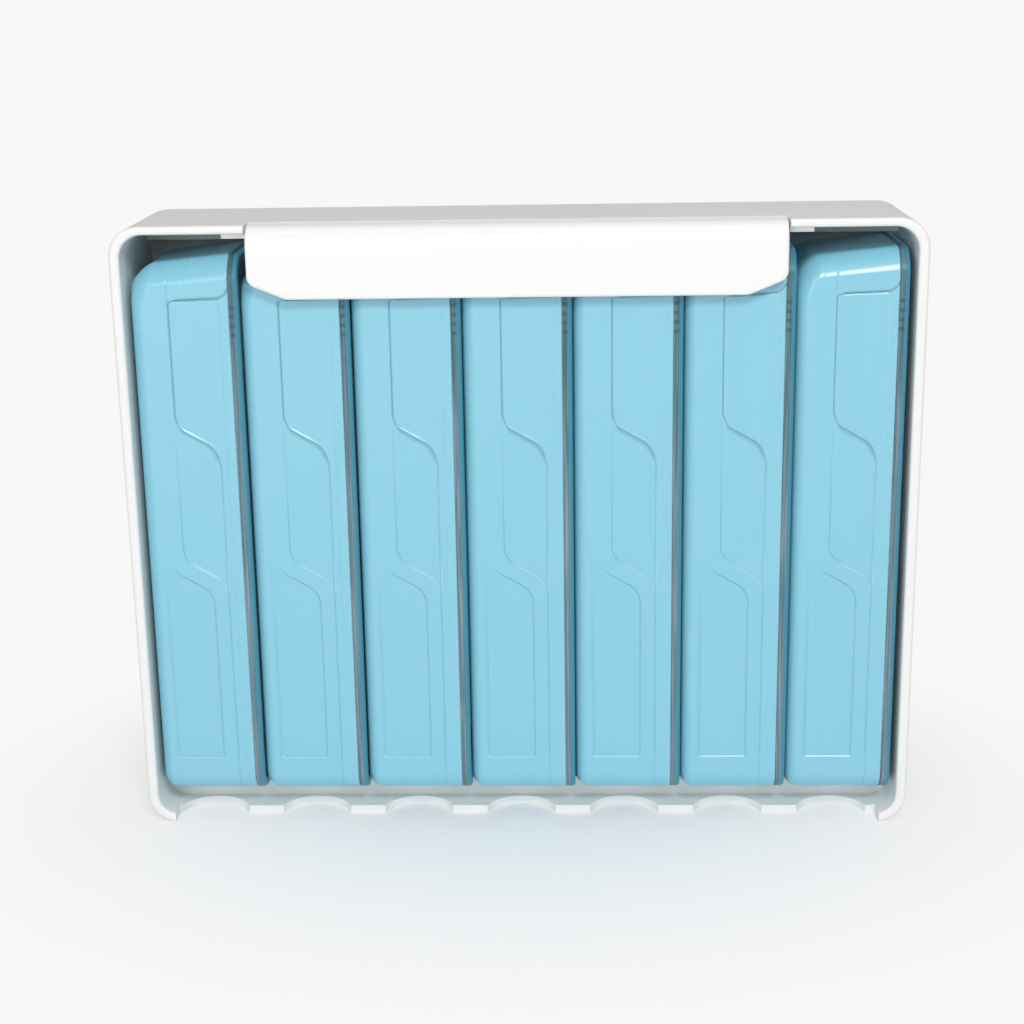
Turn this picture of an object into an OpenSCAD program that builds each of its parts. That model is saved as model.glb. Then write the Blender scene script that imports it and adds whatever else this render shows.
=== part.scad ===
// Weekly pill organizer. A white case holds seven blue day boxes side by side.
// Each day box has four pill wells that open to its right, under a clear sliding cover.
// A curved flap folds down over the rounded upper ends of the five middle boxes.
// The foot of each box swings out of the case about its rounded upper back edge.
// X runs to the right, Y to the back and Z up, and the case stands on Z = 0.

/* [Case] */
// Width of the case
case_w = 172; // [171.6:0.2:180]
// Height of the case
case_h = 136; // [135.8:0.1:138]
// Thickness of the side walls
side_wall = 2.3; // [1.8:0.1:2.5]
// Thickness of the upper and lower walls
end_wall = 1.8; // [1.6:0.1:2]
// Thickness of the back wall
back_wall = 2; // [1.6:0.2:2]
// Outer radius of the corners seen from the front
case_corner = 6.5; // [5:0.5:8]
// How far the finger scallops cut into the foot of the case
scallop_depth = 10.5; // [8:0.5:11]

/* [Day boxes] */
// Distance from one day box to the next
pitch = 23.6; // [23.4:0.1:23.8]
// Width of the blue box without its cover
box_w = 20.8; // [20.2:0.1:20.9]
// Depth of a day box from its spine to its back
box_d = 30.2; // [29:0.2:30.2]
// Height of the underside of a day box over the ground
box_foot = 6.5; // [6.3:0.1:8]
// Height of the upper end of a day box over the ground
box_top = 129.5; // [128:0.1:129.5]
// Radius of a day box's corners seen from the side
box_corner = 5; // [4.6:0.1:5]
// Thickness of the walls of a day box
box_wall = 1.5; // [1.2:0.1:1.8]
// Depth of the waved fields in the spine
relief = 0.45; // [0.3:0.05:0.6]

/* [Clear cover] */
// Thickness of the clear cover
cover_t = 1.5; // [1.2:0.1:1.6]
// Height of the runners that guide the cover
runner_h = 1.4; // [1:0.1:1.6]

/* [Flap] */
// Width of the flap
flap_w = 113.4; // [100:0.2:116]
// Height of the flap's lower edge over the ground
flap_low = 120.7; // [119.5:0.1:122]
// Wall thickness of the flap
flap_t = 1.25; // [1:0.05:1.3]

/* [Hidden] */
$fn = 48;

days = 7;
wells = 4;
// overlap of joined shapes, and how far a cut runs past the surface that it opens
eps = 0.01;
over = 1;

// planes from front to back
spine_y = -15;
spine_set_back = 1.5;
rim_y = spine_y - spine_set_back;
box_back = spine_y + box_d;
rest_gap = 0.3;
case_back = 18;
inner_back = case_back - back_wall;

// insides of the case, and the rounds along its rim and its back
inner_w = case_w - 2 * side_wall;
inner_h = case_h - 2 * end_wall;
corner_wall = 1.5;
inner_corner = case_corner - corner_wall;
rim_outer_r = 0.8;
rim_inner_r = 0.7;
back_edge = 2.5;

// the upper back edge of each box turns in the cradle of the case
pivot_y = box_back - box_corner;
pivot_z = box_top - box_corner;
cradle_r = box_corner + rest_gap;
cradle_set_back = 0.2;
cradle_y = pivot_y + cradle_set_back;

// rails under the boxes, beads behind them and finger scallops in front of them
rail_t = 1.6;
rail_places = [-4.2, 9.8];
bead_w = 1.5;
bead_inset = 5;
bead_margin = 16;
scallop_land = 5.2;
scallop_margin = 6;
scallop_inset = 2;
scallop_run = case_w - 2 * scallop_margin;
scallop_r = box_w / 2 - scallop_inset;

// hinge of the flap, with a pin at each end of its bead
hinge_y = -12.5;
hinge_sink = 1.3;
hinge_z = case_h - hinge_sink;
bead_r = 1.25;
pin_r = 0.65;
pin_fit = 0.05;
pin_len = 2.6;
pin_root = 0.2;
hinge_gap = 0.4;
swing_gap = 0.7;
lug_len = 5;
lug_front = 2;
lug_back = 1.2;
lug_h = 2.9;

// section and outline of the flap, and the gap that it leaves in the upper wall
flap_bend = 4.75;
flap_face = -18;
flap_gap_h = 4;
flap_gap_d = hinge_y + bead_r + swing_gap - rim_y;
flap_top_r = 1;
flap_side_r = 2.5;
flap_low_r = 4;
flap_cut = 8.2;
flap_cut_h = 5;

// a day box, seen from the front: x runs from its left flank
left_round = 2.1;
right_round = 1;
box_margin = 0.5;
first_x = box_margin - days * pitch / 2;

// fields of the spine relief, which end a little short of the corners; the label field is shallower
field_left = 8.1;
field_right = 17.6;
field_rail = 18.35;
field_end = 9;
field_corner = 1.2;
label_left = 3.4;
label_shift = 2.2;
label_relief = 0.8 * relief;

// the three waves, each from two arcs and a slanted line, and the ramp between the first two
wave_w = field_right - field_left;
wave_r1 = 4;
wave_r2 = 5;
wave_turn = 60;
wave_steps = 6;
wave1_z = 95.6;
wave2_z = 66.2;
wave3_z = 64;
wave_slant = wave_w - (wave_r1 + wave_r2) * (1 - cos(wave_turn));
wave_drop = (wave_r1 + wave_r2) * sin(wave_turn) + wave_slant / tan(wave_turn);
ramp_z = 90;
ramp_relief = 0.9 * relief;
ramp_angle = atan(ramp_relief / (ramp_z - wave2_z + wave_drop));

// pill wells
well_corner = 3;
well_low = box_foot + box_wall;
well_high = box_top - box_wall;
well_h = (well_high - well_low - (wells - 1) * box_wall) / wells;

// clear cover; its runners end short of the box's corners, and their notches run a little further
cover_inset = 0.2;
cover_gap = 0.1;
runner_t = 1;
runner_fit = 0.2;
runner_gap = 0.3;
runner_low = box_foot + box_corner;
runner_end = 4.5;
runner_high = box_top - runner_end;
notch_run_out = 1;
notch_high = runner_high + notch_run_out;
grip_ribs = 4;
grip_r = 0.5;
grip_pitch = 2;
grip_len = 5;
grip_inset = 1.2;
grip_low = 112.5;

function box_x(day) = first_x + (day - 1) * pitch;

// outline with round corners, centred
module rounded_rect(w, h, r) {
    square([w - 2 * r, h], center = true);
    square([w, h - 2 * r], center = true);
    for (sx = [-1, 1], sy = [-1, 1])
        translate([sx * (w / 2 - r), sy * (h / 2 - r)]) circle(r);
}

// half section of a slab's edge: r wide, t thick, rounded by low_r below and high_r above
module edge_section(r, t, low_r, high_r) {
    square([r - low_r, t - high_r]);
    translate([0, low_r]) square([r, t - low_r - high_r]);
    translate([0, low_r]) square([r - high_r, t - low_r]);
    translate([r - low_r, low_r]) circle(low_r);
    translate([r - high_r, t - high_r]) circle(high_r);
}

// slab of thickness t with round corners; its edge section runs all the way round
module rounded_slab(w, h, r, t) {
    for (turn = [0:3]) {
        across = turn % 2 == 0 ? w : h;
        along = turn % 2 == 0 ? h : w;
        rotate(turn * 90) translate([across / 2 - r, along / 2 - r, 0]) {
            rotate_extrude(angle = 90) children();
            rotate([90, 0, 0]) linear_extrude(along - 2 * r) children();
        }
    }
    translate([r - w / 2, r - h / 2, 0]) cube([w - 2 * r, h - 2 * r, t]);
}

// a shape drawn from the front, from depth y towards the viewer
module from_front(y, depth) {
    translate([0, y, 0]) rotate([90, 0, 0]) linear_extrude(depth) children();
}

// a shape drawn in depth and height, from x towards the right
module from_side(x, width) {
    translate([x, 0, 0]) rotate([90, 0, 90]) linear_extrude(width) children();
}

// ---- case ----

// section through the edge of the case, from its back to its rim
module case_edge() {
    edge_section(case_corner, case_back - rim_y, back_edge, rim_outer_r);
}

module case_outside() {
    translate([0, case_back, case_h / 2]) rotate([90, 0, 0])
        rounded_slab(case_w, case_h, case_corner, case_back - rim_y) case_edge();
}

// section through the edge of the hollow: straight, and flared at the rim by a quarter round
module hollow_edge(depth) {
    square([inner_corner, depth + over]);
    difference() {
        translate([inner_corner - eps, depth - rim_inner_r]) square([rim_inner_r + eps, rim_inner_r + over]);
        translate([inner_corner + rim_inner_r, depth - rim_inner_r]) circle(rim_inner_r);
    }
}

module case_inside() {
    depth = inner_back - rim_y;
    translate([0, inner_back, case_h / 2]) rotate([90, 0, 0])
        rounded_slab(inner_w, inner_h, inner_corner, depth + over) hollow_edge(depth);
}

// hollow rail along the upper back, in which the boxes turn
module cradle() {
    from_side(-inner_w / 2 - eps, inner_w + 2 * eps)
        difference() {
            translate([cradle_y, pivot_z])
                square([inner_back - cradle_y + eps, case_h - end_wall - pivot_z + eps]);
            translate([pivot_y, pivot_z]) circle(cradle_r);
        }
}

module foot_rails() {
    for (y = rail_places)
        translate([-inner_w / 2 - eps, y - rail_t / 2, end_wall - eps])
            cube([inner_w + 2 * eps, rail_t, box_foot - rest_gap - end_wall + eps]);
}

module back_beads() {
    bead_d = inner_back - box_back - rest_gap;
    for (day = [1:days], x = [bead_inset, box_w - bead_inset])
        translate([box_x(day) + x - bead_w / 2, inner_back - bead_d, bead_margin])
            cube([bead_w, bead_d + eps, case_h - 2 * bead_margin]);
}

// thicker lugs at both ends of the flap, for its hinge pins
module hinge_lugs() {
    lug_x = flap_w / 2 + hinge_gap + lug_len / 2;
    for (side = [-1, 1])
        translate([side * lug_x - lug_len / 2, hinge_y - lug_front, case_h - lug_h])
            cube([lug_len, lug_front + lug_back, lug_h - end_wall + eps]);
}

// waved cut along the foot, one scallop for a fingertip under each box
module finger_scallops() {
    translate([0, 0, -over]) linear_extrude(end_wall + 2 * over)
        union() {
            translate([-scallop_run / 2, rim_y - over]) square([scallop_run, scallop_land + over]);
            for (day = [1:days])
                translate([box_x(day) + box_w / 2, rim_y + scallop_depth - scallop_r]) circle(scallop_r);
        }
}

module case() {
    color("white")
        difference() {
            union() {
                difference() {
                    case_outside();
                    case_inside();
                }
                cradle();
                foot_rails();
                back_beads();
                hinge_lugs();
            }
            finger_scallops();
            // gap in the upper wall for the flap
            translate([-flap_w / 2 - hinge_gap, rim_y - over, case_h - flap_gap_h])
                cube([flap_w + 2 * hinge_gap, flap_gap_d + over, flap_gap_h + over]);
            // bores for the hinge pins
            from_side(-flap_w / 2 - hinge_gap - pin_len, flap_w + 2 * hinge_gap + 2 * pin_len)
                translate([hinge_y, hinge_z]) circle(pin_r + pin_fit);
        }
}

// ---- flap ----

// section of the flap: hinge bead, bend and face
module flap_section() {
    bend_y = flap_face + flap_bend;
    bend_z = hinge_z + bead_r - flap_bend;
    translate([hinge_y, hinge_z]) circle(bead_r);
    translate([bend_y, hinge_z + bead_r - flap_t]) square([hinge_y - bend_y, flap_t]);
    intersection() {
        translate([bend_y, bend_z])
            difference() {
                circle(flap_bend);
                circle(flap_bend - flap_t);
            }
        translate([flap_face, bend_z]) square([flap_bend, flap_bend]);
    }
    translate([flap_face, flap_low + flap_t / 2]) square([flap_t, bend_z - flap_low - flap_t / 2]);
    translate([flap_face + flap_t / 2, flap_low + flap_t / 2]) circle(flap_t / 2);
}

// face of the flap seen from the front, with its lower corners cut at a slant
module flap_outline() {
    hull() for (side = [-1, 1]) {
        translate([side * (flap_w / 2 - flap_top_r), case_h]) circle(flap_top_r);
        translate([side * (flap_w / 2 - flap_side_r), flap_low + flap_cut_h]) circle(flap_side_r);
        translate([side * (flap_w / 2 - flap_cut - flap_low_r), flap_low + flap_low_r]) circle(flap_low_r);
    }
}

module flap() {
    color("ghostwhite") {
        intersection() {
            from_side(-flap_w / 2, flap_w) flap_section();
            from_front(0, over - flap_face) flap_outline();
        }
        for (side = [-1, 1])
            translate([side * (flap_w / 2 + pin_len / 2 - pin_root), hinge_y, hinge_z])
                rotate([0, 90, 0]) cylinder(r = pin_r, h = pin_len, center = true);
    }
}

// ---- day boxes ----

// side outline of a box, drawn in by inset
module box_outline(inset) {
    translate([(spine_y + box_back) / 2, (box_foot + box_top) / 2])
        rounded_rect(box_d - 2 * inset, box_top - box_foot - 2 * inset, box_corner - inset);
}

// solid of a box with a broad round on its left edge and a small one on its right
module box_blank() {
    translate([0, (spine_y + box_back) / 2, (box_foot + box_top) / 2]) rotate([90, 0, 90])
        rounded_slab(box_d, box_top - box_foot, box_corner, box_w)
            edge_section(box_corner, box_w, left_round, right_round);
}

// points of a wave from straight down at the left to straight down at the right
function wave(x, z) =
    concat(
        [for (i = [0:wave_steps]) let (a = 180 + wave_turn * i / wave_steps)
            [x + wave_r1 * (1 + cos(a)), z + wave_r1 * sin(a)]],
        [for (i = [wave_steps:-1:0]) let (a = wave_turn * i / wave_steps)
            [x + wave_w - wave_r2 * (1 - cos(a)), z - wave_drop + wave_r2 * sin(a)]]);

// upper field, which runs down as a narrow channel beside the waves
module upper_field() {
    high = box_top - field_end;
    polygon(concat(
        [[field_rail, box_foot + field_end]],
        [for (a = [0:30:90])
            [field_rail - field_corner * (1 - cos(a)), high - field_corner * (1 - sin(a))]],
        [for (a = [90:30:180])
            [field_left + field_corner * (1 + cos(a)), high - field_corner * (1 - sin(a))]],
        wave(field_left, wave1_z),
        [[field_right, box_foot + field_end]]));
}

// field between the first and the second wave, which deepens downwards
module middle_field() {
    channel_x = (field_right + field_rail) / 2;
    polygon(concat(
        [[channel_x, ramp_z], [field_left, ramp_z]],
        wave(field_left, wave2_z),
        [[channel_x, wave2_z - wave_drop]]));
}

// field for the day's number, under the third wave
module label_field() {
    polygon(concat(
        wave(field_left - label_shift, wave3_z),
        [[field_right - label_shift, box_foot + field_end],
         [label_left + field_corner, box_foot + field_end],
         [label_left, box_foot + field_end + field_corner],
         [label_left, wave3_z - field_corner]]));
}

module spine_relief() {
    from_front(spine_y + relief, relief + over) upper_field();
    from_front(spine_y + label_relief, label_relief + over) label_field();
    translate([0, spine_y, ramp_z]) rotate([ramp_angle, 0, 0]) translate([0, 0, -ramp_z])
        from_front(0, 2 * over) middle_field();
}

module pill_wells() {
    for (i = [0:wells - 1])
        translate([0, 0, well_low + well_h / 2 + i * (well_h + box_wall)])
            from_side(box_wall, box_w)
                translate([(spine_y + box_back) / 2, 0])
                    rounded_rect(box_d - 2 * box_wall, well_h, well_corner);
}

// places of the cover's two runners, each against a long wall of the box
runner_places = [spine_y + box_wall + runner_fit, box_back - box_wall - runner_fit - runner_t];

// notches through the partitions and the lower wall, in which the runners slide
module runner_notches() {
    depth = runner_h + runner_gap;
    for (y = runner_places)
        translate([box_w - depth, y - runner_fit, box_foot - over])
            cube([depth + over, runner_t + 2 * runner_fit, notch_high - box_foot + over]);
}

module day_box(day) {
    color("skyblue") translate([box_x(day), 0, 0])
        difference() {
            box_blank();
            spine_relief();
            pill_wells();
            runner_notches();
        }
}

// ---- clear covers ----

module day_cover(day) {
    plate_x = box_w + cover_gap;
    color("lightgray", 0.5) translate([box_x(day), 0, 0]) {
        from_side(plate_x, cover_t) box_outline(cover_inset);
        for (y = runner_places)
            translate([plate_x - runner_h, y, runner_low])
                cube([runner_h + eps, runner_t, runner_high - runner_low]);
        // grip ribs on the outer face near the spine
        for (i = [0:grip_ribs - 1])
            translate([plate_x + cover_t, spine_y + grip_inset, grip_low + i * grip_pitch])
                rotate([-90, 0, 0]) cylinder(r = grip_r, h = grip_len, $fn = 24);
    }
}

case();
flap();
for (day = [1:days]) day_box(day);
for (day = [1:days]) day_cover(day);
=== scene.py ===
"""Weekly pill organizer: seven blue day boxes with clear covers stand in a white case, under a white curved flap.

Everything is in metres in the frame of the CAD model: X to the right, Y to the back, Z up, the ground at Z = 0.
"""
from math import cos, radians, sin, tan

import bpy
import numpy as np
from mathutils import Matrix, Vector


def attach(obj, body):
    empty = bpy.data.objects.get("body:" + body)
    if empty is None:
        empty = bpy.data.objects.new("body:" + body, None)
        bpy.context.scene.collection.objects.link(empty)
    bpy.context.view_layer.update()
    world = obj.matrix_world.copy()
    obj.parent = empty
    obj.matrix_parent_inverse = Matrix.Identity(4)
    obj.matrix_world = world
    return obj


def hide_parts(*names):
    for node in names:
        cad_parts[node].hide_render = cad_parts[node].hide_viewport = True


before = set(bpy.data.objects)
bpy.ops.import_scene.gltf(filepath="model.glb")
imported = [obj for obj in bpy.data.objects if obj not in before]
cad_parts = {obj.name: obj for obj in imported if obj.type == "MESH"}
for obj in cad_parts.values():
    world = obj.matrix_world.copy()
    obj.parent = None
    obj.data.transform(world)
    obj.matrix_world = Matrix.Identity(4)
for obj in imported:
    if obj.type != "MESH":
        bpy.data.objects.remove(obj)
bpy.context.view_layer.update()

MM = 0.001


# ---- camera ----
# The photograph was taken from in front and above, a little to the right of the middle. Place, turn and focal
# length were fitted to the outline of the case in the photograph.

CAMERA_AT = Vector((13.117, -402.33, 183.256)) * MM
YAW, PITCH, ROLL = radians(-2.202), radians(15.872), radians(-0.980)
FOCAL = 1850 / 1024  # in widths of the picture
SENSOR = 36.0

ahead = Vector((sin(YAW) * cos(PITCH), cos(YAW) * cos(PITCH), -sin(PITCH)))
level = Vector((cos(YAW), -sin(YAW), 0.0))
upward = level.cross(ahead)
right = cos(ROLL) * level + sin(ROLL) * upward
top = -sin(ROLL) * level + cos(ROLL) * upward
camera_data = bpy.data.cameras.new("camera")
camera_data.sensor_width = SENSOR
camera_data.lens = SENSOR * FOCAL
camera = bpy.data.objects.new("camera", camera_data)
bpy.context.scene.collection.objects.link(camera)
camera.matrix_world = Matrix.Translation(CAMERA_AT) @ Matrix((right, top, -ahead)).transposed().to_4x4()
bpy.context.scene.camera = camera
bpy.context.scene.view_settings.view_transform = "Standard"


# ---- soft studio light ----
# A softbox above and to the right casts the flap's shadow, a weaker one at the left lights the gaps between the
# boxes, and one hangs overhead, in a pale even surround. The camera and clear plastic see the surround as near white.

LAMPS = [
    # name, place, size and power of each softbox, all aimed at the middle of the case
    ("softbox_key", (0.26, -0.98, 0.94), 0.26, 6.8),
    ("softbox_fill", (-0.42, -1.15, 0.44), 0.80, 3.8),
    ("softbox_top", (0.00, -0.10, 1.30), 0.80, 1.8),
]
AIM = Vector((0.0, 0.0, 0.07))
SURROUND = 0.36
BACKGROUND = 0.935

for name, place, size, power in LAMPS:
    lamp_data = bpy.data.lights.new(name, "AREA")
    lamp_data.shape = "SQUARE"
    lamp_data.size = size
    lamp_data.energy = power
    lamp = bpy.data.objects.new(name, lamp_data)
    bpy.context.scene.collection.objects.link(lamp)
    turn = (AIM - Vector(place)).to_track_quat("-Z", "Y")
    lamp.matrix_world = Matrix.Translation(Vector(place)) @ turn.to_matrix().to_4x4()


class Value:
    """A socket in a node tree that takes part in Python expressions: each operator adds its Math node."""

    def __init__(self, tree, socket=None):
        self.tree, self.socket = tree, socket

    def node(self, kind, settings=(), inputs=(), output=0):
        """Adds a node, with its settings set first and then the values or links of its sockets."""
        made = self.tree.nodes.new(kind)
        for key, value in dict(settings).items():
            setattr(made, key, value)
        for key, value in dict(inputs).items():
            if isinstance(value, Value):
                self.tree.links.new(value.socket, made.inputs[key])
            else:
                made.inputs[key].default_value = value
        return Value(self.tree, made.outputs[output] if made.outputs else None)

    def math(self, operation, *values):
        return self.node("ShaderNodeMath", {"operation": operation}, dict(enumerate(values)))

    def rise(self, low, high):
        """Smooth step from 0 where this value is low to 1 where it is high."""
        return self.node("ShaderNodeMapRange", {"interpolation_type": "SMOOTHSTEP"},
                         {"Value": self, "From Min": low, "From Max": high})

    def blend(self, first, second):
        """Colour that runs from the first to the second as this value runs from 0 to 1."""
        return self.node("ShaderNodeMix", {"data_type": "RGBA"}, {0: self, 6: first, 7: second}, 2)

    def __add__(self, other): return self.math("ADD", self, other)
    def __radd__(self, other): return self.math("ADD", other, self)
    def __sub__(self, other): return self.math("SUBTRACT", self, other)
    def __rsub__(self, other): return self.math("SUBTRACT", other, self)
    def __mul__(self, other): return self.math("MULTIPLY", self, other)
    def __rmul__(self, other): return self.math("MULTIPLY", other, self)


world = bpy.data.worlds.new("surround")
bpy.context.scene.world = world
world.use_nodes = True
world.node_tree.nodes.clear()
sky = Value(world.node_tree)
seen = sky.node("ShaderNodeLightPath", output="Is Camera Ray")
through = sky.node("ShaderNodeLightPath", output="Is Transmission Ray")
light = sky.node("ShaderNodeBackground", (), {"Color": (1, 1, 1, 1), "Strength": SURROUND})
plain = sky.node("ShaderNodeBackground", (), {"Color": (1, 1, 1, 1), "Strength": BACKGROUND})
shown = sky.node("ShaderNodeMixShader", (), {0: seen.math("MAXIMUM", seen, through), 1: light, 2: plain})
sky.node("ShaderNodeOutputWorld", (), {"Surface": shown})


# ---- table top ----
# A plain pale table top, which runs out into the even background. It is staging and no part of the object.

TABLE_REACH, FLAT_REACH, BACK_RISE = 3.0, 1.5, 0.1
TABLE_SHADE = (0.95, 0.95, 0.95, 1.0)
SHADOW_REACH = (0.00, 0.115)
SHADOW_STRETCH = (0.75, 1.0, 1.0)


def new_material(name):
    """An empty material, and a Value to start its expressions from."""
    material = bpy.data.materials.new(name)
    material.use_nodes = True
    material.node_tree.nodes.clear()
    return material, Value(material.node_tree)


def add_object(name, points, faces, smooth=True):
    """A mesh object at the origin from an array of points in metres and lists or arrays of faces."""
    mesh = bpy.data.meshes.new(name)
    mesh.from_pydata(points, [], faces if isinstance(faces, list) else faces.tolist())
    mesh.polygons.foreach_set("use_smooth", np.full(len(mesh.polygons), smooth))
    mesh.update()
    made = bpy.data.objects.new(name, mesh)
    bpy.context.scene.collection.objects.link(made)
    return made


def table_sheet(steps=40):
    """A square sheet: height is 0 within FLAT_REACH of the object and then BACK_RISE * (distance beyond)^2."""
    along = np.linspace(-TABLE_REACH, TABLE_REACH, steps + 1)
    x, y = np.meshgrid(along, along)
    beyond = np.clip(np.hypot(x, y) - FLAT_REACH, 0.0, None)
    points = np.stack([x, y, BACK_RISE * beyond**2], axis=-1).reshape(-1, 3)
    corner = (np.arange(steps)[:, None] * (steps + 1) + np.arange(steps)).ravel()
    return points, np.stack([corner, corner + 1, corner + steps + 2, corner + steps + 1], axis=-1)


table = add_object("table_top", *table_sheet())
table_paint, start = new_material("pale_table_top")
spot = start.node("ShaderNodeTexCoord", output="Object")
grain = start.node("ShaderNodeTexNoise", (), {"Vector": spot, "Scale": 9.0, "Detail": 3.0}, "Fac")
paint = start.node("ShaderNodeBsdfPrincipled", (), {
    "Base Color": TABLE_SHADE, "Roughness": 0.55 + 0.1 * grain, "Specular IOR Level": 0.2})
even = start.node("ShaderNodeEmission", (), {"Color": (1, 1, 1, 1), "Strength": BACKGROUND})
reach = spot.node("ShaderNodeVectorMath", {"operation": "MULTIPLY"}, {0: spot, 1: SHADOW_STRETCH})
reach = reach.node("ShaderNodeVectorMath", {"operation": "LENGTH"}, {0: reach}, "Value")
fading = reach.rise(*SHADOW_REACH) * start.node("ShaderNodeLightPath", output="Is Camera Ray")
start.node("ShaderNodeOutputMaterial", (), {
    "Surface": start.node("ShaderNodeMixShader", (), {0: fading, 1: paint, 2: even})})
table.data.materials.append(table_paint)


# ---- case ----
# The case is one injection moulding in opaque white plastic with a satin surface. It is open at the front, its
# rim and corners are rounded, and the boxes hang in its hollow rail and stand on its two foot rails.

WHITE = (0.88, 0.88, 0.865)
CLOUD_SCALE, GLOSS_DRIFT = 16.0, 0.05


def plastic(name, colour, rough, specular=0.5, drift=0.008, lines=0.0):
    """Moulded plastic: a faint cloudy drift of its shade and a slightly uneven gloss.

    Where the mesh attribute "line" is 1, in the bottoms of fine grooves, its colour is deepened by the share lines as
    painted shade, and where it is -1, along fine crests, it is made paler by that share as a painted highlight."""
    material, start = new_material(name)
    spot = start.node("ShaderNodeTexCoord", output="Object")
    cloud = start.node("ShaderNodeTexNoise", (), {"Vector": spot, "Scale": CLOUD_SCALE, "Detail": 1.0}, "Fac")
    pale = (*[c * (1 + drift) for c in colour], 1.0)
    deep = (*[c * (1 - drift) for c in colour], 1.0)
    shade = cloud.blend(deep, pale)
    if lines:
        line = start.node("ShaderNodeAttribute", {"attribute_name": "line"}, output="Fac")
        # painted shade in the groove bottoms, then a painted highlight along the crests
        shade = line.rise(0.0, 1.0).blend(shade, (*[c * (1 - lines) for c in colour], 1.0))
        shade = line.rise(0.0, -1.0).blend(shade, (*[c + lines * (1 - c) for c in colour], 1.0))
    surface = start.node("ShaderNodeBsdfPrincipled", (), {
        "Base Color": shade, "Roughness": rough + GLOSS_DRIFT * (cloud - 0.5), "Specular IOR Level": specular})
    start.node("ShaderNodeOutputMaterial", (), {"Surface": surface})
    return material


def give(piece, material):
    """Puts one material on a whole piece."""
    piece.data.materials.clear()
    piece.data.materials.append(material)


white_plastic = plastic("satin_white_plastic", WHITE, 0.38)
give(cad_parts["case"], white_plastic)


# ---- flap ----
# A thin white moulding that bends from its hinge bead over the rim and hangs down in front of the boxes. All its
# edges are rounded, its lower corners are cut at a slant, and a fine step runs across it above the face.

FLAP_HALF = 56.7
FLAP_LOW, FLAP_FACE = 120.45, -18.0
FLAP_T, FLAP_BEND = 1.25, 4.75
FLAP_WHITE = (0.90, 0.90, 0.885)
HINGE_Y, HINGE_Z, BEAD_R, PIN_R, PIN_OUT = -12.5, 134.7, 1.25, 0.65, 2.4
BEAD_ROUND, PIN_ROUND = 0.3, 0.2
SLANT_W, SLANT_H, SIDE_R, LOW_R = 5.6, 5.0, 2.5, 3.2
STEP_AT, STEP_DEEP, STEP_SOFT, STEP_INSET = 0.62, 0.14, 0.15, 1.2


def arc(centre, radius, first, last, steps):
    """Points on a circle from one angle to another, in degrees, as an array of (across, up)."""
    angle = np.radians(np.linspace(first, last, steps + 1))
    return np.stack([centre[0] + radius * np.cos(angle), centre[1] + radius * np.sin(angle)], axis=-1)


def signed_distance(x, z, line):
    """Distance of each point to a line of short stretches, above zero on the left of the line's direction."""
    best = np.full(x.shape, np.inf)
    side = np.zeros(x.shape)
    for a, b in zip(line[:-1], line[1:]):
        along = b - a
        part = np.clip(((x - a[0]) * along[0] + (z - a[1]) * along[1]) / (along @ along), 0, 1)
        off = np.hypot(x - a[0] - part * along[0], z - a[1] - part * along[1])
        nearer = off < best - 1e-9
        best = np.where(nearer, off, best)
        side = np.where(nearer, np.sign(along[0] * (z - a[1]) - along[1] * (x - a[0])), side)
    return best * np.where(side == 0, 1, side)


def ease(value, low, high):
    """Smooth step from 0 at low to 1 at high: 3 t squared minus 2 t cubed."""
    t = np.clip((value - low) / (high - low), 0, 1)
    return t * t * (3 - 2 * t)


def grid_faces(rows, columns, start=0, closed=True):
    """Quads of a grid whose points run row by row; closed joins each row's end to its beginning."""
    row = np.arange(rows - 1)[:, None] * columns
    column = np.arange(columns if closed else columns - 1)
    beside = (column + 1) % columns
    below = row + columns
    return np.stack([row + column, row + beside, below + beside, below + column], -1).reshape(-1, 4) + start


def welded(points, faces, caps=()):
    """Joins points that lie in the same place, and drops faces that have lost their area.

    The last result holds the number of the first of the points that share each place."""
    places, first, index = np.unique(np.round(points, 5), axis=0, return_index=True, return_inverse=True)
    index = index.ravel()
    quads = index[faces]
    whole = (quads[:, 0] != quads[:, 2]) & (quads[:, 1] != quads[:, 3])
    tidy = [[c for n, c in enumerate(quad) if c != quad[n - 1]] for quad in quads[whole].tolist()]
    return places, [face for face in tidy if len(face) > 2] + [index[cap].tolist() for cap in caps], first


def flap_edge(z):
    """Half the flap's width at a height: full above, then a small arc, a slanted line and a larger arc inwards."""
    high = np.array([FLAP_HALF - SIDE_R, FLAP_LOW + SLANT_H])
    low = np.array([FLAP_HALF - SLANT_W - LOW_R, FLAP_LOW + LOW_R])
    gap = high - low
    tilt = np.degrees(np.arctan2(gap[1], gap[0]) - np.arccos((LOW_R - SIDE_R) / np.hypot(*gap)))
    line = np.vstack([arc(low, LOW_R, -90, tilt, 10), arc(high, SIDE_R, tilt, 0, 10)])
    return np.interp(z, line[:, 1], line[:, 0]), line


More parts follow.
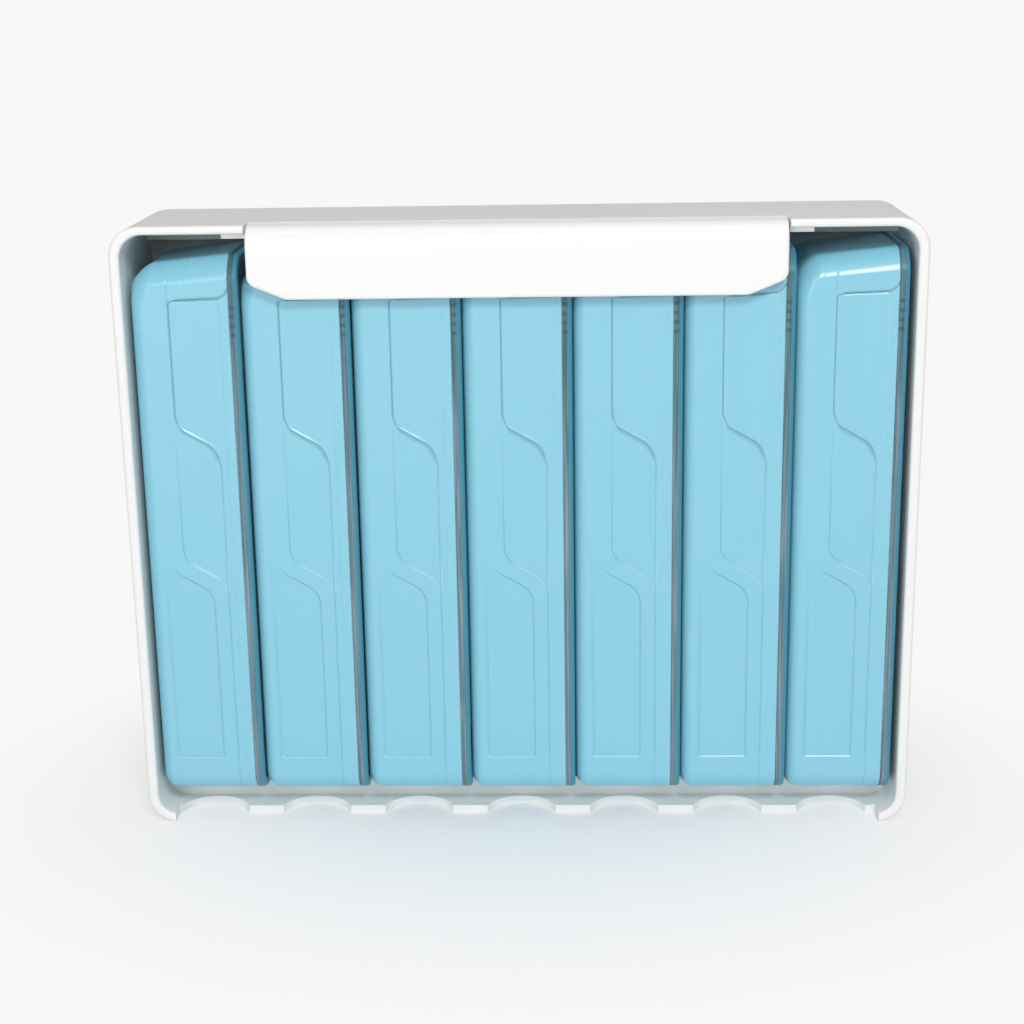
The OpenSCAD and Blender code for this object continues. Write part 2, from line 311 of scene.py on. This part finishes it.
def flap_surface():
    """Points and faces of the flap in millimetres.

    A middle sheet runs from the bead round the bend and down the face. Two skins stand half a thickness either side
    of it, and the half thickness r falls to nought along a quarter circle at the free edges: sqrt(r^2 - (r - d)^2)
    at the distance d from the edge. The outer skin is STEP_DEEP lower above the step that crosses the bend."""
    half = FLAP_T / 2
    bend_y, bend_z = FLAP_FACE + FLAP_BEND, HINGE_Z + BEAD_R - FLAP_BEND
    around = FLAP_BEND - half
    run_top, run_bend = HINGE_Y - bend_y, np.pi / 2 * around
    drop = bend_z - FLAP_LOW
    to_edge = half * (1 - np.cos(np.linspace(0, np.pi / 2, 8)))
    run = np.unique(np.concatenate([
        np.linspace(0, run_top, 3), run_top + np.linspace(0, run_bend, 46),
        run_top + run_bend + np.linspace(0, drop - half, 80), run_top + run_bend + drop - to_edge]))
    bent = np.clip((run - run_top) / around, 0, np.pi / 2)
    down = np.clip(run - run_top - run_bend, 0, None)
    y = np.where(run < run_top, HINGE_Y - run, bend_y - around * np.sin(bent))
    z = bend_z + around * np.cos(bent) - down
    out_y, out_z = -np.sin(bent), np.cos(bent)
    width, outline = flap_edge(z)
    width = np.where(down > 0, width, FLAP_HALF)
    across = np.concatenate([-1 + to_edge / FLAP_HALF, np.linspace(-0.985, 0.985, 61), 1 - to_edge[::-1] / FLAP_HALF])
    x = across[None] * width[:, None]
    off = np.minimum(FLAP_HALF - np.abs(x), (drop - down)[:, None])
    slanted = signed_distance(np.abs(x), np.broadcast_to(z[:, None], x.shape), outline)
    off = np.where(down[:, None] > 0, np.minimum(off, np.maximum(slanted, 0)), off)
    off[:, [0, -1]] = 0
    off[-1] = 0
    thick = np.sqrt(np.clip(half**2 - np.clip(half - off, 0, None)**2, 0, None))
    step_at = run_top + STEP_AT * run_bend
    step = STEP_DEEP * (1 - ease(run, step_at - STEP_SOFT, step_at + STEP_SOFT))
    outer = np.clip(thick - step[:, None] * ease(off, 0, STEP_INSET), 0, None)
    skins = [np.stack([x, y[:, None] + s * out_y[:, None], z[:, None] + s * out_z[:, None]], -1)
             for s in (outer, -thick)]
    rows, columns = x.shape
    faces = [grid_faces(rows, columns, closed=False)[:, ::-1], grid_faces(rows, columns, rows * columns, closed=False)]
    first = np.arange(columns - 1)
    faces.append(np.stack([first, first + 1, first + 1 + rows * columns, first + rows * columns], -1))
    return np.vstack([skin.reshape(-1, 3) for skin in skins]), np.vstack(faces)


def rod_surface(profile, y, z, start, sides=40):
    """A rod along X: the profile's points (x, radius) carried round the axis, with its two ends closed to points."""
    turn = np.linspace(0, 2 * np.pi, sides, endpoint=False)
    x, radius = np.asarray(profile, float).T
    points = np.stack([np.broadcast_to(x[:, None], (len(x), sides)),
                       y + radius[:, None] * np.cos(turn), z + radius[:, None] * np.sin(turn)], -1)
    return points.reshape(-1, 3), grid_faces(len(x), sides, start)


flap_points, flap_faces = flap_surface()
tip = FLAP_HALF + PIN_OUT
end = np.vstack([
    [[tip, 0.0], [tip, PIN_R - PIN_ROUND]], arc((tip - PIN_ROUND, PIN_R - PIN_ROUND), PIN_ROUND, 0, 90, 4),
    [[FLAP_HALF, PIN_R], [FLAP_HALF, BEAD_R - BEAD_ROUND]],
    arc((FLAP_HALF - BEAD_ROUND, BEAD_R - BEAD_ROUND), BEAD_ROUND, 0, 90, 4)])
bead_points, bead_faces = rod_surface(np.vstack([end * [-1, 1], end[::-1]]), HINGE_Y, HINGE_Z, len(flap_points))
flap_points, flap_faces, _ = welded(np.vstack([flap_points, bead_points]), np.vstack([flap_faces, bead_faces]))
flap = add_object("flap_moulding", flap_points * MM, flap_faces)
give(flap, plastic("satin_white_flap_plastic", FLAP_WHITE, 0.34))
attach(flap, "flap")
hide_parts("flap")
give(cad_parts["flap"], white_plastic)


# ---- day boxes ----
# Seven equal boxes moulded in pale blue satin plastic. Each has a broad round along its left edge, a waved relief
# on its spine and four pill wells that open to its right. A box turns on its rounded upper back edge in the case.

BOX_W, BOX_FOOT, BOX_TOP = 20.8, 6.5, 129.5
SPINE, BOX_BACK = -15.0, 15.2
CORNER = 5.0
DAYS, PITCH_X, FIRST_X = 7, 23.6, -82.1
LEFT_ROUND, TOP_ROUND, RIGHT_ROUND, LEFT_OUT = 2.6, 4.8, 0.35, 0.52
TOP_SLANT, SLANT_Z, ROUND_Z, BEVEL = 0.115, (114, 131), (119.0, 127.5), 1.3
WALL, WELLS, WELL_CORNER = 1.5, 4, 3.0
RIM_ROUND, RIM_LIP, WELL_IN, FLOOR_R = 0.3, 0.4, 0.22, 2.4
WELL_H = (BOX_TOP - BOX_FOOT - (WELLS + 1) * WALL) / WELLS
WELL_Z = BOX_FOOT + WALL + WELL_H / 2 + (WELL_H + WALL) * np.arange(WELLS)
PARTS_Z = (WELL_Z[1:] + WELL_Z[:-1]) / 2
FIELD_LEFT, FIELD_RIGHT, FIELD_END, RAIL_X = 7.7, 17.15, 9.0, 18.7
FIELD_HIGH, FIELD_LOW = BOX_TOP - FIELD_END, BOX_FOOT + FIELD_END
FIELD_DEEP, FIELD_BEND, RELIEF_EDGE, FINE = 0.30, 1.2, 0.17, 0.18
HOOK_LEFT, HOOK_RIGHT, HOOK_R = 9.6, 18.2, 2.78
LABEL_LEFT, LABEL_WAVE, LABEL_RIGHT = 3.4, 5.15, 13.9
WAVES_Z = (95.2, 64.8, 62.1)
MIDDLE_TOP, END_LINE_X = 96.5, 4.8
PRESSED, PAST_SPINE = 8, 200.0
BLUE = (0.240, 0.595, 0.745)


def wave(x, z, width=FIELD_RIGHT - FIELD_LEFT, r1=4.0, r2=5.0, turn=60.0):
    """One wave: straight down, a left-hand arc, a slanted line and a right-hand arc back to straight down."""
    slant = width - (r1 + r2) * (1 - cos(radians(turn)))
    drop = (r1 + r2) * sin(radians(turn)) + slant / tan(radians(turn))
    return np.vstack([arc((x + r1, z), r1, 180, 180 + turn, 12), arc((x + width - r2, z - drop), r2, turn, 0, 12)])


def mark(distance, width):
    """How much of a fine line lies at a distance from it: exp(-(distance / width)^2)."""
    return np.exp(-(distance / width)**2)


def spine_relief(x, z):
    """Depth of the relief under the spine in millimetres, and the painted shade (up to 1) of fine grooves and painted
    highlight (down to -1) of fine crests at each point.

    z is the running height over the spine. Each field is its depth times a smooth step of the distance to its
    outline. A fine line is a groove, depth times mark, and a crest is the same upwards. The second result darkens the
    colour in a groove as painted shade and pales it on a crest as a painted highlight."""
    corner = arc((FIELD_LEFT + FIELD_BEND, FIELD_HIGH - FIELD_BEND), FIELD_BEND, 90, 180, 8)
    outline = np.vstack([[[26.0, FIELD_HIGH], [12.0, FIELD_HIGH]], corner, wave(FIELD_LEFT, WAVES_Z[0]),
                         [[FIELD_RIGHT, 0.0]]])
    inside = signed_distance(x, z, outline)
    ends = ease(z, FIELD_LOW - 0.2, FIELD_LOW + 0.2)
    upper = FIELD_DEEP * ease(inside, -RELIEF_EDGE, RELIEF_EDGE) * (1 - 0.7 * ease(x, 12.0, 18.0))
    upper = upper * ease(RAIL_X - x, -0.3, 0.3) * ends

    between = np.vstack([[[FIELD_LEFT, 99.0]], wave(FIELD_LEFT, WAVES_Z[1]), [[FIELD_RIGHT, 0.0]]])
    between = np.minimum(np.minimum(-inside, signed_distance(x, z, between)), MIDDLE_TOP - z)
    middle = (0.08 + 0.34 * ease(-z, -92.0, -58.0)) * ease(between, -RELIEF_EDGE, RELIEF_EDGE)

    third = wave(LABEL_WAVE, WAVES_Z[2], LABEL_RIGHT - LABEL_WAVE)
    label = -signed_distance(x, z, np.vstack([[[LABEL_WAVE, 140.0]], third, [[LABEL_RIGHT, 0.0]]]))
    label = np.minimum(label, np.minimum(x - LABEL_LEFT, z - FIELD_LOW))
    on_panel = ease(-z, -WAVES_Z[2] - 1.0, -WAVES_Z[2] + 5.0) * (0.35 + 0.65 * ease(x + (66 - z) / 4, 5.0, 10.0))
    panel = FIELD_DEEP * ease(label, -RELIEF_EDGE, RELIEF_EDGE) * on_panel

    hook = np.vstack([[[HOOK_LEFT, FIELD_HIGH]], arc((HOOK_RIGHT, FIELD_HIGH + HOOK_R), HOOK_R, -90, -25, 8)])
    above = ease(z, 119.0, 119.8) * ease(-z, -127.5, -126.0)
    before_rail = ease(RAIL_X - x, -0.2, 0.2)
    below_wave = ease(-z, -92.0, -88.0) * ease(z, WAVES_Z[1] - 1, WAVES_Z[1] + 2)
    on_wave = ease(x, FIELD_LEFT + 0.3, FIELD_LEFT + 1.8) * ease(z, 83.0, 86.0) * ease(-z, -96.4, -95.0)
    on_second = ease(x, 9.0, 11.5) * ease(-z, -64.5, -61.0) * ease(z, 53.0, 56.0)
    outlined = before_rail * ends * np.maximum(on_wave, ease(z, 70.0, 90.0))
    shift = 0.10 - 0.52 * on_wave
    spread = 0.17 + np.where(inside > shift, 0.05, 0.43) * on_wave
    lines = [
        # how much of the line lies at each point, how deep it is, and how far it deepens the colour as painted shade;
        # a crest has both below zero, and its colour is paled as a painted highlight
        (mark(inside - shift, spread) * outlined, 0.12 + 0.12 * on_wave, 0.70),
        (mark(inside - 0.04, 0.22) * on_wave, -0.12, -0.30),
        (mark(inside + 0.05, FINE) * ease(-z, -86.0, -80.0) * ends * (x > 12), 0.04, 0.28),
        (mark(x - FIELD_LEFT, FINE) * below_wave, 0.03, 0.22),
        (mark(between + 0.10, 0.24) * on_second, -0.12, -0.55),
        (mark(label - 0.08, FINE) * on_panel, 0.06, 0.42),
        (mark(signed_distance(x, z, hook) - 0.10, 0.32), 0.22, 0.90),
        (mark(x - FIELD_LEFT, FINE) * above, 0.07, 0.35),
        (mark(x - END_LINE_X, FINE) * ease(z, 122.6, 123.4) * above, 0.05, 0.25),
        (mark(x - RAIL_X - 0.3, 0.30) * ease(inside, 0, 1) * ends, -0.05, -0.12),
    ]
    depth = upper + middle + panel + sum(part * deep for part, deep, _ in lines)
    return depth, np.clip(sum(part * painted_shading for part, _, painted_shading in lines), -1, 1)


def rows_between(low, high):
    """Heights from low to high, close together where a wave or an end of a field crosses the spine."""
    dense = np.linspace(low, high, 600)
    fine = np.zeros(dense.shape, bool)
    for a, b in [(z - 13.0, z + 1.4) for z in WAVES_Z] + [(119.4, 124.6), (FIELD_LOW - 0.7, FIELD_LOW + 0.9)]:
        fine |= (dense > a) & (dense < b)
    count = np.concatenate([[0], np.cumsum((dense[1] - dense[0]) / np.where(fine[1:], 0.16, 0.9))])
    return np.interp(np.linspace(0, count[-1], int(np.ceil(count[-1])) + 1), count, dense)


def side_path():
    """The outline of a box seen from its side, as base points and outward directions: point = base + r * direction.

    It runs up the spine, back over the top, down the back and forward under the foot, round the rectangle that lies
    one corner radius inside the outline. The upper front corner is nearly a bevel: (-(cos t)^BEVEL, (sin t)^BEVEL).
    The last array is the running height along the spine and its corners, and PAST_SPINE elsewhere."""
    def stretch(*columns):
        """One part of the path from its y, z, outward y, outward z and running height, each a number or an array."""
        y, z, way_y, way_z, height = np.broadcast_arrays(*columns)
        return np.stack([y, z], -1), np.stack([way_y, way_z], -1), height

    low, high = BOX_FOOT + CORNER, BOX_TOP - CORNER
    front, back = SPINE + CORNER, BOX_BACK - CORNER
    knots = np.concatenate([[low], PARTS_Z, [high]])
    spine_z = np.concatenate([rows_between(a, b)[:-1] for a, b in zip(knots[:-1], knots[1:])])
    back_z = np.concatenate([np.linspace(b, a, 9)[:-1] for a, b in zip(knots[-2::-1], knots[:0:-1])])
    many, few = [np.radians(np.linspace(0, 90, steps + 1)[:-1]) for steps in (20, 10)]
    across = np.linspace(front, back, 8)[:-1]
    forward = across[::-1] + (across[1] - across[0])
    parts = [
        stretch(front, spine_z, -1.0, 0.0, spine_z),
        stretch(front, high, -np.cos(many)**BEVEL, np.sin(many)**BEVEL, high + CORNER * many),
        stretch(across, high, 0.0, 1.0, PAST_SPINE),
        stretch(back, high, np.sin(few), np.cos(few), PAST_SPINE),
        stretch(back, back_z, 1.0, 0.0, PAST_SPINE),
        stretch(back, low, np.cos(few), -np.sin(few), PAST_SPINE),
        stretch(forward, low, 0.0, -1.0, PAST_SPINE),
        stretch(front, low, -np.sin(few), -np.cos(few), low - CORNER * (np.pi / 2 - few)),
    ]
    return [np.concatenate(column) for column in zip(*parts)]


def well_rings(cell, well):
    """Rings of points from a well's part of the rim down to its floor, as an array of (ring, point, x y z).

    Each point of the rim is paired with the nearest point of the well's rounded rectangle and pushed outwards from
    it. A quarter circle leads over the rim, and one of radius FLOOR_R from the wall to the floor."""
    middle = np.array([(SPINE + BOX_BACK) / 2, WELL_Z[well]])
    half = np.array([(BOX_BACK - SPINE) / 2 - WALL, WELL_H / 2]) - WELL_CORNER
    turn = np.radians(np.linspace(0, 90, 5))
    push = np.concatenate([RIM_ROUND * (1 - np.sin(turn)), [-0.02], -WELL_IN - FLOOR_R * (1 - np.cos(turn))])
    level = np.concatenate([[BOX_W], BOX_W - RIM_ROUND * (1 - np.cos(turn)), [BOX_W - RIM_LIP],
                            WALL + FLOOR_R * (1 - np.sin(turn))])
    loop = cell[np.argsort(np.arctan2((cell[:, 1] - middle[1]) / (WELL_H / 2), (cell[:, 0] - middle[0]) / 15))]
    core = np.clip(loop - middle, -half, half) + middle
    away = loop - core
    away /= np.linalg.norm(away, axis=1)[:, None]
    rings = np.concatenate([loop[None], core[None] + (WELL_CORNER + push)[:, None, None] * away[None]])
    return np.concatenate([np.broadcast_to(level[:, None, None], (*rings.shape[:2], 1)), rings], -1)


def box_surface():
    """Points, faces, caps and the painted shade and highlight of the fine lines of one day box in millimetres, from x
    = 0 at its left flank.

    The outside is an edge section, given as inset and x, carried round the side path. Its left round grows from
    LEFT_ROUND to TOP_ROUND at the upper end, by a smooth step of z, and the columns up to PRESSED are pressed
    together in step. Lines across the rim part it into the cells of the wells. The upper end slants down to the
    left: z falls by TOP_SLANT * smooth step of z over SLANT_Z * (BOX_W - x)."""
    base, way, run = side_path()
    count = len(base)
    turn = np.radians(np.linspace(0, 90, 9))[:, None]
    round_end = LEFT_ROUND - LEFT_OUT
    flat = np.unique(np.round(np.concatenate([
        np.arange(round_end + 0.3, 19.9, 0.4), np.arange(5.8, 20.4, 0.17),
        *[np.arange(c - 0.4, c + 0.41, 0.1) for c in (FIELD_LEFT, FIELD_RIGHT, RAIL_X)]]), 3))
    flat = flat[(flat > round_end) & (flat < BOX_W - RIGHT_ROUND)]
    flat = flat[np.concatenate([[True], np.diff(flat) > 0.04])][:, None]
    radius = (LEFT_ROUND + (TOP_ROUND - LEFT_ROUND) * ease(base[:, 1] + CORNER * way[:, 1], *ROUND_Z))[None]
    pressed = PRESSED - (PRESSED - flat) * (PRESSED - radius + LEFT_OUT) / (PRESSED - round_end)
    level = np.ones((1, count))
    inset = np.vstack([radius + 0.06, radius * (1 - np.sin(turn)**BEVEL), flat * 0 * level,
                       RIGHT_ROUND * (1 - np.cos(turn)) * level])
    across = np.vstack([-LEFT_OUT * level, radius * (1 - np.cos(turn)**BEVEL) - LEFT_OUT,
                        np.where(flat < PRESSED, pressed, flat),
                        BOX_W - RIGHT_ROUND + RIGHT_ROUND * np.sin(turn) * level])
    plane = base[None] + (CORNER - inset)[..., None] * way[None]
    fade = ease(across, radius - LEFT_OUT + 0.2, radius - LEFT_OUT + 0.7)
    depth, line = [part * fade for part in spine_relief(across, np.broadcast_to(run, across.shape))]
    skin = np.concatenate([across[..., None], plane - depth[..., None] * way[None]], -1)
    blocks, faces, caps = [skin.reshape(-1, 3)], [grid_faces(len(skin), count)[:, ::-1]], [list(range(count))]
    rim = skin[-1, :, 1:]
    line_y = np.linspace(rim[:, 0].min(), rim[:, 0].max(), 40)[1:-1]
    limits = [-np.inf, *PARTS_Z, np.inf]
    for well, (low, high) in enumerate(zip(limits[:-1], limits[1:])):
        cell = rim[(rim[:, 1] > low - 1e-6) & (rim[:, 1] < high + 1e-6)]
        cuts = [np.stack([line_y, np.full(len(line_y), z)], -1) for z in (low, high) if np.isfinite(z)]
        rings = well_rings(np.vstack([cell, *cuts]), well)
        start = sum(map(len, blocks))
        blocks.append(rings.reshape(-1, 3))
        faces.append(grid_faces(*rings.shape[:2], start))
        caps.append(list(range(start + len(blocks[-1]) - rings.shape[1], start + len(blocks[-1]))))
    points = np.vstack(blocks)
    points[:, 2] -= TOP_SLANT * ease(points[:, 2], *SLANT_Z) * (BOX_W - points[:, 0])
    return points, np.vstack(faces), caps, np.concatenate([line.ravel(), np.zeros(len(points) - line.size)])


# lines is the share of painted shade in the spine's grooves and of painted highlight on its crests
blue_plastic = plastic("satin_blue_plastic", BLUE, 0.28, specular=0.95, lines=0.40)
*box_parts, painted_line_shading = box_surface()
box_points, box_faces, first_points = welded(*box_parts)
for day in range(DAYS):
    place = np.array([FIRST_X + day * PITCH_X, 0.0, 0.0])
    shell = add_object(f"day{day + 1}_shell", (box_points + place) * MM, box_faces)
    # the attribute "line" carries the painted shade and highlight of the fine lines
    shell.data.attributes.new("line", "FLOAT", "POINT").data.foreach_set("value", painted_line_shading[first_points])
    give(shell, blue_plastic)
    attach(shell, f"day{day + 1}")
    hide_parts(f"day{day + 1}_box")
    give(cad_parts[f"day{day + 1}_box"], blue_plastic)


# ---- clear covers ----
# A flat cover of clear polystyrene closes the wells of each box. Its cut edges are painted grey in place of refraction
# and internal reflection, and show flow marks. Its two runners slide in the box, and four small ribs at its front edge
# give a fingertip its hold.

COVER_AT, COVER_T, COVER_INSET, COVER_R = 20.83, 2.05, 0.10, (0.05, 0.6)
RUNNERS = ((SPINE + 1.7, 1.0), (BOX_BACK - 2.7, 1.0))
RUNNER_H, RUNNER_LOW, RUNNER_HIGH = 1.4, BOX_FOOT + CORNER, BOX_TOP - 4.5
RUNNER_R, RUNNER_EDGE = 0.45, (0.2, 0.2)
RIBS, RIB_R, RIB_SUNK, RIB_LONG, RIB_PITCH, RIB_LOW = 4, 0.45, 0.38, 5.0, 2.0, 112.5
EDGE_ZONE = 0.8
CLEAR = (0.78, 0.84, 0.87, 1.0)
# painted tones of the cover's edge, in place of refraction and internal reflection in the clear plastic
EDGE_DARK = (0.050, 0.115, 0.140, 1.0), (0.10, 0.18, 0.22, 1.0)  # at the top and at the foot of the edge
EDGE_LIGHT = (0.15, 0.25, 0.29, 1.0), (0.27, 0.33, 0.38, 1.0)
# painted shade of the grip ribs, seen in the cover's edge
RIB_SHADE = (0.03, 0.06, 0.075, 1.0)
# painted blue of the next box seen through the outer edge, and a painted glow along it
PAINTED_SEEN_BLUE, PAINTED_GLOW = (0.03, 0.17, 0.24, 1.0), (0.014, 0.105, 0.155, 1.0)


def slab_surface(points, inward, low, high, edges, start=0):
    """A slab with rounded edges from an outline in (y, z): points, faces, caps and edge zone (1 low, 2 high, else 0).

    Each edge is a quarter circle: inset = r * (1 - sin t), x = low + r * (1 - cos t), mirrored at the high face. One
    more ring on each face, EDGE_ZONE inside, ends the zone of the edge."""
    turn = np.radians(np.linspace(0, 90, 5))
    below, above = edges
    inset = np.concatenate([[below + EDGE_ZONE], below * (1 - np.sin(turn)),
                            above * (1 - np.cos(turn)), [above + EDGE_ZONE]])
    level = np.concatenate([[low], low + below * (1 - np.cos(turn)), high - above * (1 - np.sin(turn)), [high]])
    rings = points[None] + inset[:, None, None] * inward[None]
    count = len(points)
    solid = np.concatenate([np.broadcast_to(level[:, None, None], (*rings.shape[:2], 1)), rings], -1).reshape(-1, 3)
    end = start + len(solid)
    caps = [list(range(start + count - 1, start - 1, -1)), list(range(end - count, end))]
    rim = np.repeat(np.concatenate([[0], np.ones(5), np.full(5, 2.0), [0]]), count)
    return solid, grid_faces(len(level), count, start), caps, rim


def round_outline(low, high, radius, steps=10):
    """A rectangle in (y, z) with round corners, as points and their inward directions, anticlockwise."""
    turns = [np.radians(np.linspace(a, a + 90, steps + 1)) for a in (0, 90, 180, 270)]
    corners = [(high[0] - radius, high[1] - radius), (low[0] + radius, high[1] - radius),
               (low[0] + radius, low[1] + radius), (high[0] - radius, low[1] + radius)]
    out = np.concatenate([np.stack([np.cos(t), np.sin(t)], -1) for t in turns])
    return np.concatenate([np.tile(c, (steps + 1, 1)) for c in corners]) + radius * out, -out


def cover_surface():
    """Points, faces, caps and edge zone of one clear cover in millimetres, from x = 0 at the left of its box."""
    base, way, _ = [part[::-1] for part in side_path()]
    outside = COVER_AT + COVER_T
    slabs = [(base + (CORNER - COVER_INSET) * way, -way, COVER_AT, outside, COVER_R)]
    for y, width in RUNNERS:
        outline = round_outline((y, RUNNER_LOW), (y + width, RUNNER_HIGH), RUNNER_R, 4)
        slabs.append((*outline, COVER_AT - RUNNER_H, COVER_AT + 0.5, RUNNER_EDGE))
    blocks, faces, caps, rims = [], [], [], []
    for slab in slabs:
        points, quads, ends, rim = slab_surface(*slab, start=sum(map(len, blocks)))
        blocks.append(points)
        faces.append(quads)
        caps.extend(ends)
        rims.append(rim)
    rib_profile = np.vstack([[[0.0, 0.0]], arc((RIB_R, 0.0), RIB_R, 180, 90, 5),
                             [[RIB_LONG, RIB_R * 0.6], [RIB_LONG, 0.0]]])
    for rib in range(RIBS):
        start = sum(map(len, blocks))
        points, quads = rod_surface(rib_profile, outside - RIB_SUNK, RIB_LOW + rib * RIB_PITCH, start, 16)
        blocks.append(points[:, [1, 0, 2]] + [0, SPINE + 0.5, 0])
        faces.append(quads[:, ::-1])
        rims.append(np.zeros(len(points)))
    return np.vstack(blocks), np.vstack(faces), caps, np.concatenate(rims)


def clear_plastic():
    """Clear polystyrene: see-through over its faces, and painted grey with upright streaks where the attribute "edge"
    is 1, in place of refraction and internal reflection at the edge.

    Where it is 2 the edge is painted the blue of the next box, as seen through it by refraction, with a painted glow
    in place of light carried to its edge. The edges grow paler towards the foot, and the grip ribs show as dark marks
    of painted shade near the upper end."""
    material, start = new_material("clear_plastic")
    spot = start.node("ShaderNodeTexCoord", output="Object")
    rise = start.node("ShaderNodeSeparateXYZ", (), {0: spot}, "Z") * (1 / MM)
    flow = start.node("ShaderNodeTexNoise", (), {"Vector": spot, "Scale": 300.0, "Detail": 3.0}, "Fac")
    stretched = start.node("ShaderNodeMapping", (), {"Vector": spot, "Scale": (2600.0, 60.0, 50.0)})
    streak = start.node("ShaderNodeTexNoise", (), {"Vector": stretched, "Scale": 1.0, "Detail": 3.0}, "Fac")
    zone = start.node("ShaderNodeAttribute", {"attribute_name": "edge"}, output="Fac")
    edge = start.math("MINIMUM", zone, 1.0)
    to_foot = rise.rise(118.0, 70.0)
    # painted grey of the edge in place of refraction, with streaks of flow marks, paler towards the foot
    tone = streak.rise(0.34, 0.68).blend(to_foot.blend(*EDGE_DARK), to_foot.blend(*EDGE_LIGHT))
    beat = start.math("PINGPONG", rise - (RIB_LOW - RIB_PITCH / 2), RIB_PITCH / 2)
    highest = RIB_LOW + (RIBS - 1) * RIB_PITCH
    marks = beat.rise(RIB_PITCH * 0.22, RIB_PITCH * 0.38) * rise.rise(RIB_LOW - 1.1, RIB_LOW - 0.9)
    marks = marks * (1 - rise.rise(highest + 0.9, highest + 1.1))
    # painted shade of the grip ribs as dark marks near the upper end
    tone = (0.6 * marks).blend(tone, RIB_SHADE)
    # painted blue of the next box, seen through the outer edge
    tone = zone.rise(1.50, 2.05).blend(tone, PAINTED_SEEN_BLUE)
    # the emission is a painted glow along the outer edge
    surface = start.node("ShaderNodeBsdfPrincipled", (), {
        "Base Color": edge.blend(CLEAR, tone), "Roughness": 0.12 + 0.1 * flow + 0.25 * edge, "IOR": 1.49,
        "Emission Color": zone.rise(1.6, 2.0).blend((0, 0, 0, 1), PAINTED_GLOW), "Emission Strength": 1.0,
        "Alpha": 0.16 + 0.76 * edge})
    start.node("ShaderNodeOutputMaterial", (), {"Surface": surface})
    return material


cover_plastic = clear_plastic()
*cover_parts, edge_zone = cover_surface()
cover_points, cover_faces, first_points = welded(*cover_parts)
for day in range(DAYS):
    place = np.array([FIRST_X + day * PITCH_X, 0.0, 0.0])
    cover = add_object(f"day{day + 1}_clear_cover", (cover_points + place) * MM, cover_faces)
    cover.data.attributes.new("edge", "FLOAT", "POINT").data.foreach_set("value", edge_zone[first_points])
    give(cover, cover_plastic)
    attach(cover, f"day{day + 1}")
    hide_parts(f"day{day + 1}_cover")
    give(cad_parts[f"day{day + 1}_cover"], cover_plastic)
